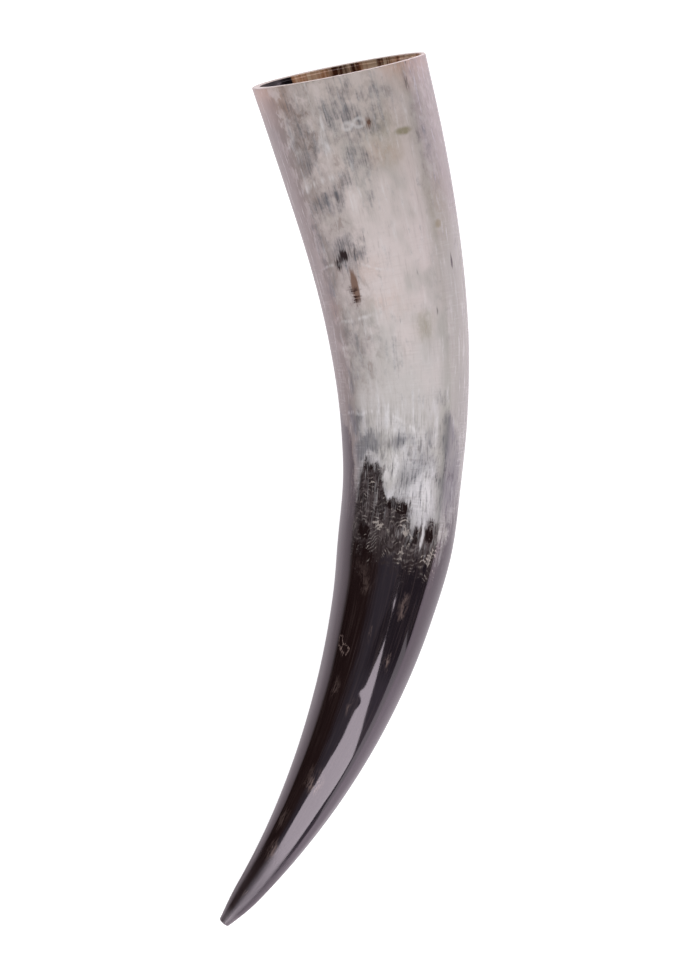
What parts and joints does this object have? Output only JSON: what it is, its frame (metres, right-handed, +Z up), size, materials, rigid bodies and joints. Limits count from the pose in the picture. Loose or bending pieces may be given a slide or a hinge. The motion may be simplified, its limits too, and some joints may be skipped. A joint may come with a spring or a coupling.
{
  "type": "drinking horn",
  "caption": "Polished cattle horn with a wide cut mouth, a curved tapering body, a deep sealed hollow for holding a drink, and a solid blunt tip.",
  "frame": {"origin": "on the surface the horn lies on, under the middle of its box", "axes": "+Z up, +Y towards the mouth, -Y towards the tip, +X the side the horn bows out to"},
  "size_m": [0.113, 0.396, 0.0736],
  "materials": {
    "polished_horn": "hand-polished natural horn, cream with gray and brown marks at the mouth, black at the tip",
    "clear_coat": "clear gloss lacquer over the cream and brown inside of the horn"
  },
  "bodies": {
    "root": {"horn_sheath": "polished_horn", "inner_sealing_coat": "clear_coat"}
  },
  "joints": []
}
